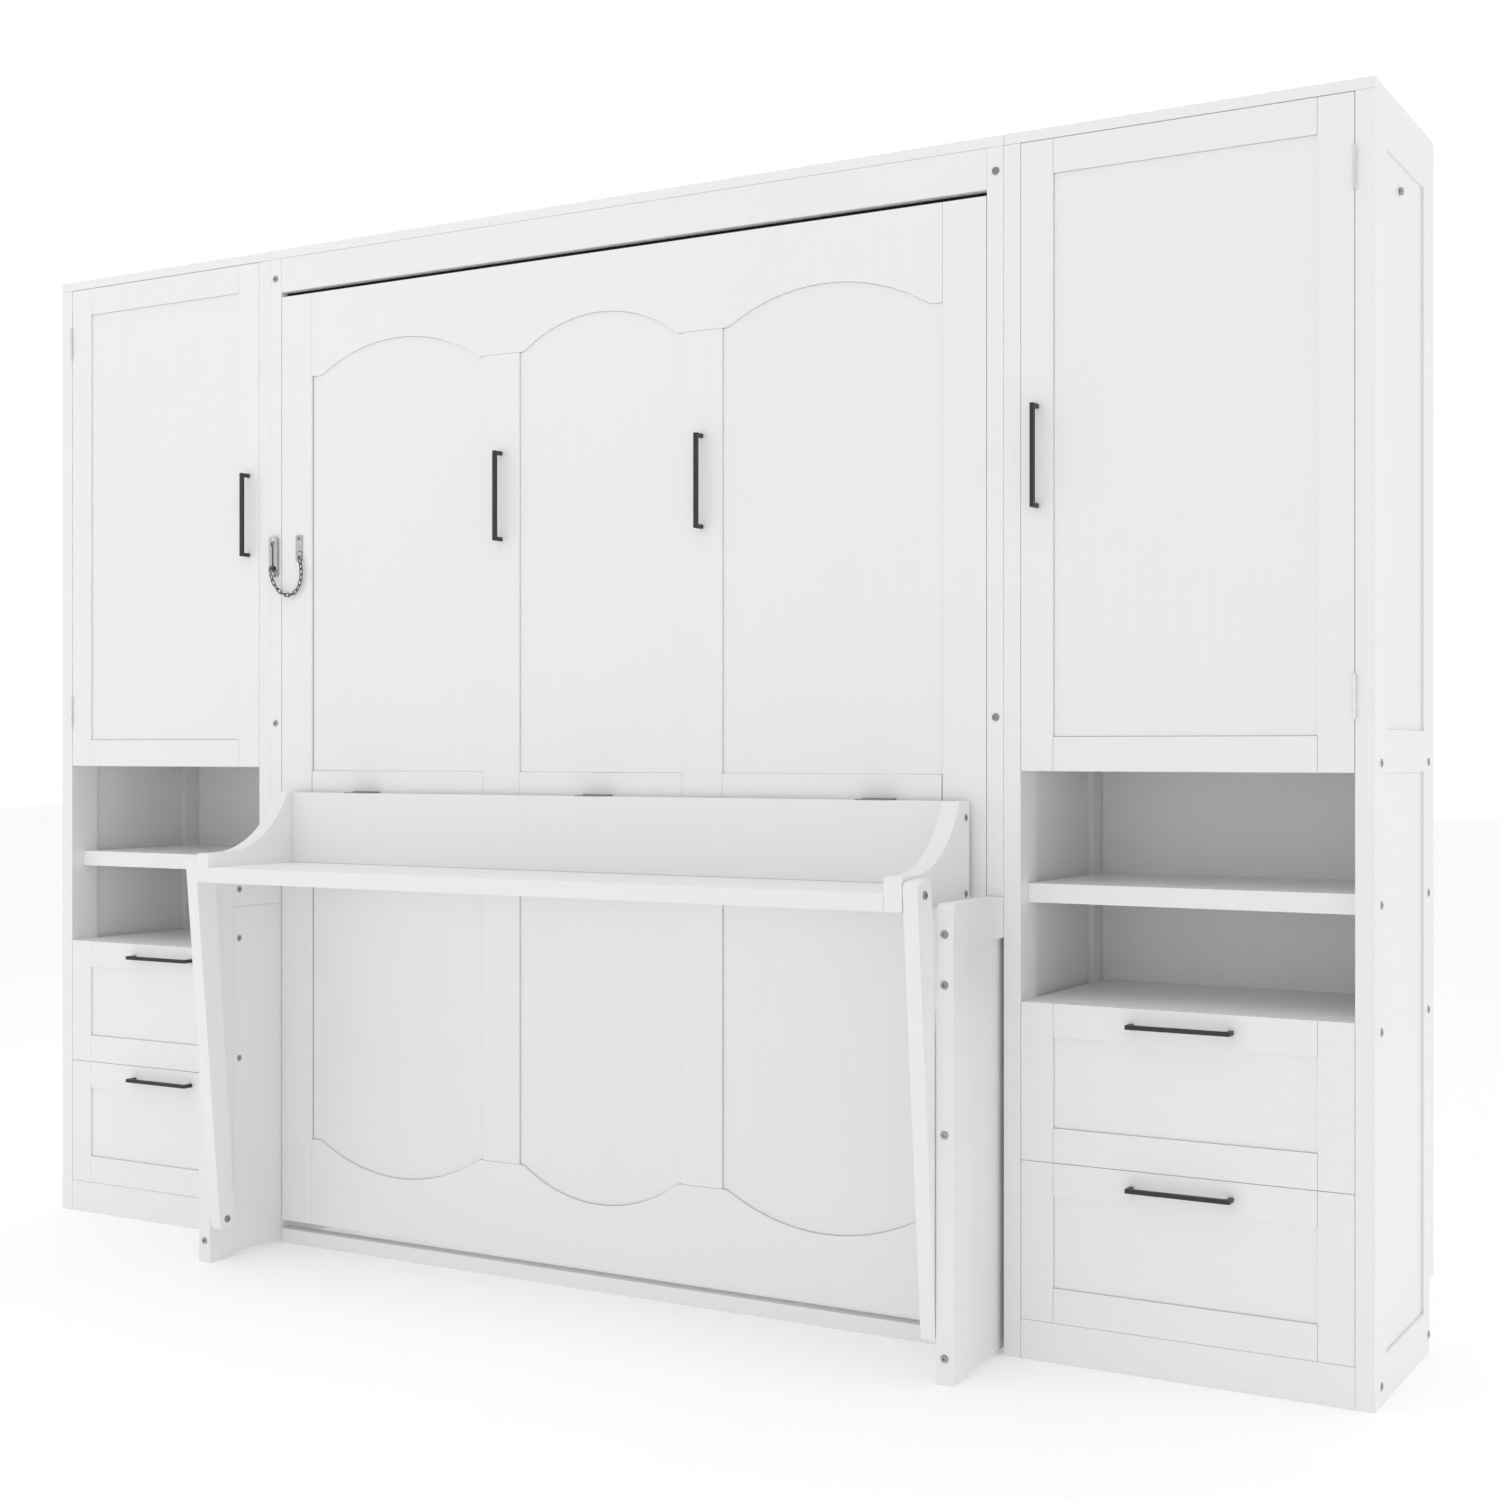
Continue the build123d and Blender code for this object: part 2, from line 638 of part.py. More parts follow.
def centre_rails():
    """Header, base rail, top board and back rails of the middle unit."""
    inside = (-(CENTRE_IN - JOINT), CENTRE_IN - JOINT)
    with BuildPart() as header:
        slab(inside, (FRONT, FRONT + FACING), (HEADER_BOTTOM, UNDER_TOP))
    save(header, "header_rail")
    with BuildPart() as base:
        slab(inside, (FRONT, FRONT + SIDE), (0, BASE_RAIL_TALL))
    save(base, "base_rail")
    with BuildPart() as top:
        slab((-CENTRE_OUT, CENTRE_OUT), (FRONT, BACK), (UNDER_TOP + JOINT, HEIGHT))
    save(top, "centre_top")
    with BuildPart() as backs:
        for low, high in BACK_RAILS:
            slab(inside, (BACK - BACK_RAIL_THICK, BACK), (low, high))
        slab(inside, (BACK - BASEBOARD_DEPTH, BACK), (0, BASEBOARD_HEIGHT), mode=Mode.SUBTRACT)
        batten_y = (BACK - BASEBOARD_DEPTH - BACK_RAIL_THICK, BACK - BASEBOARD_DEPTH)
        slab(inside, batten_y, BACK_RAILS[0])
        for x in WALL_HOLES:
            with Locations(Location((x, BACK, WALL_HOLE_Z), (90, 0, 0))):
                Cylinder(WALL_HOLE_R, 4 * BACK_RAIL_THICK, mode=Mode.SUBTRACT)
    save(backs, "centre_back_rails")


def bay_levels(upward, inset):
    """Base, shoulder and crown heights of one panel opening."""
    if upward:
        return MID_RAIL[1] + inset, ARCH_SHOULDER - inset, ARCH_TOP - inset
    return MID_RAIL[0] - inset, LOW_SHOULDER + inset, LOW_ARCH + inset


def panel_outline(bay, upward, inset=0.0):
    """Face of one arched panel opening, in the plane of the bed face."""
    left, right, middle, half = bay
    base, shoulder, crown = bay_levels(upward, inset)
    start, end = (middle - half, shoulder), (middle + half, shoulder)
    with BuildSketch(mode=Mode.PRIVATE) as outline:
        with BuildLine():
            Polyline(
                start,
                (left + inset, shoulder),
                (left + inset, base),
                (right - inset, base),
                (right - inset, shoulder),
                end,
            )
            ThreePointArc(end, (middle, crown), start)
        make_face()
        corners = outline.vertices()
        ends = [v for v in corners if min(abs(v.X - start[0]), abs(v.X - end[0])) < inset + 0.1]
        fillet([v for v in ends if abs(v.Y - shoulder) < 0.1], radius=ARCH_FILLET)
    return outline.sketch


def face_plane(y):
    """A plane facing the room, with its local axes along +X and +Z."""
    return Plane(origin=(0, y, 0), x_dir=(1, 0, 0), z_dir=(0, -1, 0))


def bed_face():
    """The frame of the bed face with its arched rails, and the six panels in it."""
    stile_in = FACE_HALF - FACE_STILE
    rail_x = (-(stile_in - JOINT), stile_in - JOINT)
    with BuildPart() as frame:
        depth = (FRONT, FRONT + FACING)
        for sign in SIDES.values():
            slab((sign * stile_in, sign * FACE_HALF), depth, (FACE_BOTTOM, FACE_TOP))
            mullion_z = (LOW_SHOULDER + JOINT, ARCH_SHOULDER - JOINT)
            slab([sign * v for v in MULLION], depth, mullion_z)
        for left, right, _, _ in BAYS:
            slab((left + JOINT, right - JOINT), depth, MID_RAIL)
        for upward, low, high in (
            (True, ARCH_SHOULDER, FACE_TOP),
            (False, FACE_BOTTOM, LOW_SHOULDER),
        ):
            with BuildSketch(face_plane(FRONT + FACING)):
                with Locations((0, (low + high) / 2)):
                    Rectangle(rail_x[1] - rail_x[0], high - low)
                for bay in BAYS:
                    add(panel_outline(bay, upward), mode=Mode.SUBTRACT)
            extrude(amount=FACING)
    save(frame, "bed_face_frame")

    with BuildPart() as panels:
        with BuildSketch(face_plane(FRONT + LEAF_RECESS + LEAF_PANEL)):
            for bay in BAYS:
                for upward in (True, False):
                    add(panel_outline(bay, upward, JOINT))
        extrude(amount=LEAF_PANEL)
    save(panels, "bed_face_panels")

    with BuildPart() as handles:
        for sign in SIDES.values():
            bar_handle(sign * (MULLION[0] + MULLION[1]) / 2, HANDLE_Z, True)
    save(handles, "bed_pull_handles")


def bed_box():
    """Rails, slats and beam that hold the mattress behind the face."""
    rail_in = BOX_HALF - BOX_RAIL
    depth = (FRONT + FACING + JOINT, BOX_BACK)
    ledger_y = (SLAT_Y - LEDGER, SLAT_Y - JOINT)
    inside_z = (BOX_BOTTOM + BOX_END + JOINT, BOX_TOP - BOX_END - JOINT)
    with BuildPart() as rails:
        for sign in SIDES.values():
            slab((sign * rail_in, sign * BOX_HALF), depth, (BOX_BOTTOM, BOX_TOP))
            slab((sign * (rail_in - LEDGER), sign * (rail_in - JOINT)), ledger_y, inside_z)
        across = (-(rail_in - JOINT), rail_in - JOINT)
        slab(across, depth, (BOX_BOTTOM, BOX_BOTTOM + BOX_END))
        slab(across, depth, (BOX_TOP - BOX_END, BOX_TOP))
    save(rails, "bed_box_rails")

    with BuildPart() as slats:
        first = inside_z[0] + SLAT_WIDE
        last = inside_z[1] - SLAT_WIDE
        for number in range(SLATS):
            middle = first + (last - first) * number / (SLATS - 1)
            z = (middle - SLAT_WIDE / 2, middle + SLAT_WIDE / 2)
            slab(across, (SLAT_Y, SLAT_Y + SLAT_THICK), z)
    save(slats, "bed_slats")

    with BuildPart() as beam:
        slab((-BEAM_WIDE / 2, BEAM_WIDE / 2), (depth[0], SLAT_Y - JOINT), inside_z)
    save(beam, "bed_centre_beam")


def bed_pivots():
    """Bearing plates on the lower sides, and the flanged pins on the bed box."""
    with BuildPart() as plates:
        for sign in SIDES.values():
            plane = Plane(origin=(sign * CENTRE_IN, *BED_PIVOT), z_dir=(-sign, 0, 0))
            with Locations(plane.location):
                Cylinder(PLATE_R, PLATE_THICK, align=(Align.CENTER, Align.CENTER, Align.MIN))
                Cylinder(
                    BOSS_R,
                    PLATE_THICK + BOSS_LONG,
                    align=(Align.CENTER, Align.CENTER, Align.MIN),
                )
                Cylinder(PIVOT_PIN_R + PIVOT_FIT, 4 * BOSS_LONG, mode=Mode.SUBTRACT)
    save(plates, "bed_pivot_plates")

    with BuildPart() as pins:
        for sign in SIDES.values():
            plane = Plane(origin=(sign * BOX_HALF, *BED_PIVOT), z_dir=(sign, 0, 0))
            middle_y = BED_PIVOT[0] + FLANGE_SHIFT
            slab(
                (sign * BOX_HALF, sign * (BOX_HALF + FLANGE_THICK)),
                (middle_y - FLANGE / 2, middle_y + FLANGE / 2),
                (BED_PIVOT[1] - FLANGE / 2, BED_PIVOT[1] + FLANGE / 2),
            )
            reach = CENTRE_IN - BOX_HALF - PIN_END
            with Locations(plane.location):
                Cylinder(PIVOT_PIN_R, reach, align=(Align.CENTER, Align.CENTER, Align.MIN))
            foot = Plane(origin=(sign * BOX_HALF, *STRUT_FOOT), z_dir=(sign, 0, 0))
            with Locations(foot.location):
                Cylinder(
                    PLATE_R / 2, FLANGE_THICK, align=(Align.CENTER, Align.CENTER, Align.MIN)
                )
                Cylinder(
                    STUD_R,
                    STRUT_X - EYE_HALF - PIN_END - BOX_HALF,
                    align=(Align.CENTER, Align.CENTER, Align.MIN),
                )
    save(pins, "bed_pivot_pins")


def front_shelf():
    """The shelf that stays level: cheeks, back board, board and fixings."""
    cheek_in = CHEEK_OUT - CHEEK
    curve_start = SHELF_BACK - CHEEK_FLAT
    radius = hypot(curve_start - CURVE_CENTRE[0], CHEEK_TOP - CURVE_CENTRE[1])
    middle_angle = -45.0
    arc_mid = Vector(*CURVE_CENTRE) + Vector(radius, 0).rotate(Axis.Z, middle_angle)
    with BuildPart() as cheeks:
        with BuildSketch(Plane.YZ) as profile:
            with BuildLine():
                Polyline(
                    (curve_start, CHEEK_TOP),
                    (SHELF_BACK, CHEEK_TOP),
                    (SHELF_BACK, SHELF_BOTTOM),
                    (SHELF_FRONT, SHELF_BOTTOM),
                    (SHELF_FRONT, NOSE_TOP),
                    (CURVE_CENTRE[0], NOSE_TOP),
                )
                ThreePointArc(
                    (CURVE_CENTRE[0], NOSE_TOP), (arc_mid.X, arc_mid.Y), (curve_start, CHEEK_TOP)
                )
            make_face()
            nose = profile.vertices().sort_by(Axis.X)[:2].sort_by(Axis.Y)[-1:]
            fillet(nose, radius=NOSE_CORNER)
        for sign in SIDES.values():
            start = min(sign * cheek_in, sign * CHEEK_OUT)
            extrude(Plane.YZ.offset(start) * profile.sketch_local, amount=CHEEK)
            drill(cheek_bolts(sign))
            with Locations(Location((sign * CHEEK_OUT, *ARM_TOP), (0, 90, 0))):
                Cylinder(PIVOT_SHANK + HEAD_FIT, 2 * PIVOT_BORE, mode=Mode.SUBTRACT)
    save(cheeks, "shelf_cheeks")

    inside = (-(cheek_in - JOINT), cheek_in - JOINT)
    with BuildPart() as back:
        board_y = (SHELF_BACK - SHELF_BACKBOARD, SHELF_BACK)
        slab(inside, board_y, (SHELF_BOTTOM + SHELF_BOARD + JOINT, CHEEK_TOP))
        for sign in SIDES.values():
            drill(cheek_bolts(sign))
    save(back, "shelf_back_board")
    with BuildPart() as board:
        slab(inside, (SHELF_FRONT, SHELF_BACK), (SHELF_BOTTOM, SHELF_BOTTOM + SHELF_BOARD))
        for sign in SIDES.values():
            drill(cheek_bolts(sign))
    save(board, "shelf_board")

    with BuildPart() as bolts:
        for sign in SIDES.values():
            add_bolts(cheek_bolts(sign), proud=JOINT)
            grip = ARM_X[1] - CHEEK_OUT + PIVOT_BITE
            add_bolts(shelf_pivot_bolts(sign), grip, PIVOT_PROUD, PIVOT_SHANK)
    save(bolts, "shelf_bolts")


def shelf_hinge_half(on_shelf):
    """Adds one half of the three hinges between the shelf and the bed face to the open part."""
    step = SHELF_HINGE_WIDE / HINGE_KNUCKLES
    pin_y, pin_z = SHELF_PIVOT
    for middle in SHELF_HINGES_X:
        start = middle - SHELF_HINGE_WIDE / 2
        span = (start, start + SHELF_HINGE_WIDE)
        if on_shelf:
            plate_z = (CHEEK_TOP, CHEEK_TOP + SHELF_LEAF)
            slab(span, (SHELF_BACK - SHELF_BACKBOARD, SHELF_BACK), plate_z)
        else:
            slab(span, (FRONT - SHELF_LEAF, FRONT), (pin_z - SHELF_LEAF_DROP, pin_z - SHELF_LEAF_TOP))
        for number in range(HINGE_KNUCKLES):
            if (number % 2 == 0) != on_shelf:
                continue
            low = start + number * step + JOINT / 2
            high = low + step - JOINT
            if on_shelf:
                slab((low, high), (SHELF_BACK, pin_y), (CHEEK_TOP, CHEEK_TOP + SHELF_LEAF))
            else:
                slab((low, high), (FRONT - SHELF_LEAF, FRONT), (pin_z - SHELF_LEAF_TOP, pin_z))
            with Locations(Location(((low + high) / 2, pin_y, pin_z), (0, 90, 0))):
                Cylinder(SHELF_KNUCKLE_R, high - low)
        with Locations(Location((middle, pin_y, pin_z), (0, 90, 0))):
            Cylinder(PIN_R + HEAD_FIT, SHELF_HINGE_WIDE + 2 * JOINT, mode=Mode.SUBTRACT)
            if on_shelf:
                Cylinder(PIN_R, SHELF_HINGE_WIDE)


def shelf_hinges():
    """Both halves of the shelf hinges, each riding with its own side."""
    with BuildPart() as shelf_half:
        shelf_hinge_half(True)
    save(shelf_half, "shelf_hinge_leaves")
    with BuildPart() as bed_half:
        shelf_hinge_half(False)
    save(bed_half, "bed_hinge_leaves")


def arms():
    """The tapered arms that keep the shelf level."""
    run_y, run_z = ARM_TOP[0] - ARM_PIVOT[0], ARM_TOP[1] - ARM_PIVOT[1]
    length = hypot(run_y, run_z)
    along = Vector(0, run_y / length, run_z / length)
    for side, sign in SIDES.items():
        start = min(sign * ARM_X[0], sign * ARM_X[1])
        across = along.cross(Vector(1, 0, 0))
        plane = Plane(origin=(start, *ARM_PIVOT), x_dir=across, z_dir=(1, 0, 0))
        with BuildPart() as arm:
            with BuildSketch(plane) as outline:
                with BuildLine():
                    Polyline(
                        (-ARM_BOTTOM_HALF, -ARM_PAST_BOTTOM),
                        (ARM_BOTTOM_HALF, -ARM_PAST_BOTTOM),
                        (ARM_TOP_HALF, length + ARM_PAST_TOP),
                        (-ARM_TOP_HALF, length + ARM_PAST_TOP),
                        close=True,
                    )
                make_face()
                fillet(outline.vertices(), radius=ARM_CORNER)
                with Locations((0, 0), (0, length)):
                    Circle(ARM_BORE, mode=Mode.SUBTRACT)
            extrude(amount=ARM_X[1] - ARM_X[0])
            for seat in arm_bolts(sign) + shelf_pivot_bolts(sign):
                with Locations(seat.location):
                    Cylinder(HEAD_R + HEAD_FIT, 2 * HEAD_DEEP + HEAD_FIT, mode=Mode.SUBTRACT)
        save(arm, f"arm_{side}")


def strut_plane(sign):
    """Plane at a strut's upper pivot, with its normal along the strut to the bed."""
    run_y, run_z = STRUT_FOOT[0] - STRUT_TOP[0], STRUT_FOOT[1] - STRUT_TOP[1]
    return Plane(origin=(sign * STRUT_X, *STRUT_TOP), x_dir=(1, 0, 0), z_dir=(0, run_y, run_z))


def struts():
    """Gas struts: tubes on the middle unit's sides, rods towards the bed box, and their studs."""
    length = hypot(STRUT_FOOT[0] - STRUT_TOP[0], STRUT_FOOT[1] - STRUT_TOP[1])
    upright = (Align.CENTER, Align.CENTER, Align.MIN)
    with BuildPart() as tubes:
        for sign in SIDES.values():
            plane = strut_plane(sign)
            with Locations(Location((sign * STRUT_X, *STRUT_TOP), (0, 90, 0))):
                Cylinder(EYE_R, 2 * EYE_HALF)
            with Locations(plane.location):
                Cylinder(ROD_R, TUBE_START + GLAND / 2, align=upright)
            with Locations(plane.offset(TUBE_START).location):
                Cylinder(TUBE_R, TUBE_END - TUBE_START, align=upright)
            with Locations(plane.offset(TUBE_START + GLAND).location):
                Cylinder(
                    TUBE_BORE, TUBE_END - TUBE_START - 2 * GLAND, align=upright, mode=Mode.SUBTRACT
                )
            with Locations(plane.offset(TUBE_END - 2 * GLAND).location):
                Cylinder(ROD_R + PIVOT_FIT, 3 * GLAND, align=upright, mode=Mode.SUBTRACT)
            with Locations(Location((sign * STRUT_X, *STRUT_TOP), (0, 90, 0))):
                Cylinder(STUD_R + PIVOT_FIT, 3 * EYE_HALF, mode=Mode.SUBTRACT)
    save(tubes, "strut_cylinders")

    with BuildPart() as rods:
        for sign in SIDES.values():
            plane = strut_plane(sign)
            with Locations(plane.offset(PISTON_AT).location):
                Cylinder(ROD_R, length - PISTON_AT, align=upright)
                Cylinder(PISTON_R, PISTON_LONG, align=upright)
            with Locations(Location((sign * STRUT_X, *STRUT_FOOT), (0, 90, 0))):
                Cylinder(EYE_R, 2 * EYE_HALF)
                Cylinder(STUD_R + PIVOT_FIT, 3 * EYE_HALF, mode=Mode.SUBTRACT)
    save(rods, "strut_rods")

    with BuildPart() as studs:
        for sign in SIDES.values():
            plane = Plane(origin=(sign * CENTRE_IN, *STRUT_TOP), z_dir=(-sign, 0, 0))
            with Locations(plane.location):
                Cylinder(PLATE_R / 2, FLANGE_THICK, align=upright)
                Cylinder(STUD_R, CENTRE_IN - STRUT_X + EYE_HALF, align=upright)
    save(studs, "strut_studs")


def frame_bolts():
    """Bolts and round nuts that hold the fixed frame, and the arms' lower pivots."""
    with BuildPart() as bolts:
        for sign in SIDES.values():
            add_bolts(outer_bolts(sign) + rail_bolt(sign))
            add_bolts(post_bolts(sign))
            add_bolts(wing_bolts(sign))
            add_bolts(wing_nuts(sign), NUT_LONG, JOINT)
            grip = CENTRE_IN - ARM_X[0] + PIVOT_BITE
            add_bolts(arm_bolts(sign), grip, PIVOT_PROUD, PIVOT_SHANK)
    save(bolts, "frame_bolts")


def chain_track():
    """The slotted track on the post and the button that slides in it."""
    low, high = TRACK_Z - TRACK[1] / 2, TRACK_Z + TRACK[1] / 2
    front = FRONT - TRACK_DEEP
    half = TRACK[0] / 2
    with BuildPart() as track:
        slab((CHAIN_X - half, CHAIN_X + half), (front, FRONT), (low, high))
        fillet(track.edges().filter_by(Axis.Y), radius=half / 2)
        inner = half - TRACK_WALL
        slab(
            (CHAIN_X - inner, CHAIN_X + inner),
            (front + TRACK_WALL, FRONT),
            (low + 2 * TRACK_WALL, high - 2 * TRACK_WALL),
            mode=Mode.SUBTRACT,
        )
        slot = SLOT_WIDE / 2
        slab(
            (CHAIN_X - slot, CHAIN_X + slot),
            (front - TRACK_WALL, FRONT),
            (SLOT_BOTTOM, KEYHOLE_Z),
            mode=Mode.SUBTRACT,
        )
        with Locations(Location((CHAIN_X, front, KEYHOLE_Z), (90, 0, 0))):
            Cylinder(KEYHOLE_R, TRACK_DEEP, mode=Mode.SUBTRACT)
    save(track, "chain_track")

    with BuildPart() as slider:
        stem = Plane(origin=(CHAIN_X, front - BUTTON_LIFT, SLIDER_Z), z_dir=(0, 1, 0))
        upright = (Align.CENTER, Align.CENTER, Align.MIN)
        with Locations(stem.location):
            Cylinder(KEYHOLE_R - BUTTON_FIT, BUTTON_THICK, align=upright)
            Cylinder(SLOT_WIDE / 2 - STEM_FIT, STEM_LONG, align=upright)
        with Locations(stem.offset(BUTTON_LIFT + TRACK_WALL + BUTTON_FIT).location):
            Cylinder(KEYHOLE_R - BUTTON_FIT, KEEPER_THICK, align=upright)
        ring_at = (CHAIN_X, front - RING_LIFT, SLIDER_Z - RING_DROP)
        with Locations(Location(ring_at, (0, 90, 0))):
            Torus(RING_R, WIRE / 2)
    save(slider, "chain_slider")


def chain_anchor():
    """The plate on the bed's stile that the chain hangs from, with its staple."""
    with BuildPart() as anchor:
        half = ANCHOR[0] / 2
        low, high = ANCHOR_Z - ANCHOR[1] / 2, ANCHOR_Z + ANCHOR[1] / 2
        slab((ANCHOR_X - half, ANCHOR_X + half), (FRONT - ANCHOR_THICK, FRONT), (low, high))
        fillet(anchor.edges().filter_by(Axis.Y), radius=half / 2)
        with Locations(Location(STAPLE_AT, (0, 90, 0))):
            Torus(STAPLE_R, WIRE / 2)
        slab((-HALF, HALF), (FRONT, FRONT + FACING), (low, high), mode=Mode.SUBTRACT)
    save(anchor, "chain_anchor")


def chain_link(plane):
    """One oval link of round wire, lying in a plane with its long side along the plane's x."""
    round_r = (LINK_WIDE - WIRE) / 2
    reach = (LINK_LONG - WIRE) / 2 - round_r
    with BuildPart(plane, mode=Mode.PRIVATE) as link:
        with Locations((reach, 0), (-reach, 0)):
            Torus(round_r, WIRE / 2)
        Box(2 * reach, 2 * LINK_WIDE, LINK_WIDE, mode=Mode.SUBTRACT)
        with Locations(Location((0, round_r, 0), (0, 90, 0)), Location((0, -round_r, 0), (0, 90, 0))):
            Cylinder(WIRE / 2, 2 * reach)
    return link.part


def chain_links():
    """The hanging chain, link by link, turned by a quarter from each to the next."""
    path = Spline(*CHAIN_LINE)
    links = []
    for number in range(LINK_COUNT):
        share = (number + 0.5) / LINK_COUNT
        tangent = path % share
        flat = Vector(0, -1, 0) - tangent * tangent.dot(Vector(0, -1, 0))
        normal = flat if number % 2 else tangent.cross(flat)
        links.append(chain_link(Plane(origin=path @ share, x_dir=tangent, z_dir=normal)))
    with BuildPart() as chain:
        for link in links:
            add(link)
    save(chain, "chain_links")


for side_name, side_sign in SIDES.items():
    cabinet_shell(side_name, side_sign)
    centre_sides(side_name, side_sign)
shared_cabinet_pieces()
doors()
drawers()
centre_rails()
frame_bolts()
bed_face()
bed_box()
bed_pivots()
front_shelf()
shelf_hinges()
arms()
struts()
chain_track()
chain_anchor()
chain_links()
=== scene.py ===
"""Looks for the murphy wall bed: white satin paint, black bar handles, chrome fittings, studio light."""

import json
import math

import bmesh
import bpy
from mathutils import Matrix, Vector

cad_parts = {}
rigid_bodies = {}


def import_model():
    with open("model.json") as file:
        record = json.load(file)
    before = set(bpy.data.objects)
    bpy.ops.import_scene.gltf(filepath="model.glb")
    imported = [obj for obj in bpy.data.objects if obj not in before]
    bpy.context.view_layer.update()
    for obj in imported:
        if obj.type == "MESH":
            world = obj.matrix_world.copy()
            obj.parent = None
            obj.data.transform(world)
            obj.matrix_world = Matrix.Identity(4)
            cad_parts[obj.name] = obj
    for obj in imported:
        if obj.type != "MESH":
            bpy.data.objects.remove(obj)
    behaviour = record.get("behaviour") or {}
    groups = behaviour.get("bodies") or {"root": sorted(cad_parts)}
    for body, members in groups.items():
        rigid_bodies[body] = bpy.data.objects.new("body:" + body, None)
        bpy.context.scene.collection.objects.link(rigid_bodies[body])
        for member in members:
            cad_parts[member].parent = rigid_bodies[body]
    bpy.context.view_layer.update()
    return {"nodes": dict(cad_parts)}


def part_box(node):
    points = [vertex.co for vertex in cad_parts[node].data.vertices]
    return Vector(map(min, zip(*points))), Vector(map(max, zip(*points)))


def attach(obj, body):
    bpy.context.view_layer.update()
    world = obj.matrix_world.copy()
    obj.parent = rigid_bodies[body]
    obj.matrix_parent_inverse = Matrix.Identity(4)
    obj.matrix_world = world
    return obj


MM = 0.001

for leftover in list(bpy.data.objects):
    bpy.data.objects.remove(leftover)
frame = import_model()
nodes = frame["nodes"]

# Camera, in metres and degrees
CAMERA_AT = (2.3935, -3.6052, 1.1059)
CAMERA_YAW = 30.0
LENS_MM = 50.0
SENSOR_MM = 36.0
SIGHT = 200.0  # how far the camera sees

# Rounding of edges, in metres and degrees
BOARD_EDGE = 0.9 * MM
SOFT_EDGE = 2.6 * MM
METAL_EDGE = 0.5 * MM
WELD = 0.01 * MM
FLAT_ANGLE = 0.5  # faces closer than this to one plane become one face
HARD_ANGLE = 35.0  # sharper edges than this are rounded

# Brightness of the white surroundings, and how far towards the wall one fades into the other
ROOM_FRONT = 0.65
ROOM_BACK = 1.0
ROOM_FADE = 0.35
WHITE = (1.0, 1.0, 1.0)
FLOOR_SIZE = 60.0
FLOOR_GLOW = 0.17

# Square lamps: name, place, aim, width in metres and power in watts
LAMPS = (
    ("key", (-3.3, -2.8, 2.0), (-0.8, 0, 1.2), 2.5, 8.5),
    ("overhead", (0.0, -1.6, 5.5), (0, -0.3, 0.8), 4.0, 38.0),
    ("fill", (0.6, -8.0, 1.3), (0, 0, 1.0), 3.0, 24.0),
    ("side", (6.0, 0.5, 2.0), (1.5, 0, 1.1), 3.0, 9.0),
)

# Black strip behind the header, painted shade filling the gap above the bed face, in metres
SHADE_STRIP_THICK = 10.0 * MM
SHADE_STRIP_TALL = 24.0 * MM
SHADE_STRIP_LIFT = 4.5 * MM  # above the bed box
SHADE_STRIP_ROUND = 1.5 * MM
SHADE_STRIP_BEVEL = 1.0 * MM

# Screws of the chain's plates, in metres. The profile runs from the cross outwards, as shares of the radius:
# how far out, and how high. Its first ring is the cross.
SCREW_SIDES = 24
SCREW_PROFILE = ((0.30, -0.16), (0.62, 0.10), (0.88, 0.06), (1.0, 0.0), (0.55, -0.5))
RECESS = (0.55, 0.45)  # the cross: least width, and how much its arms add to it
ANCHOR_THICK = 2.0 * MM  # the anchor plate's
ANCHOR_SCREW_R = 4.2 * MM
ANCHOR_SCREWS_IN = (8.0 * MM, 9.0 * MM)  # from the plate's top and bottom ends
TRACK_SCREW_R = 3.4 * MM
TRACK_SCREW_IN = 5.2 * MM


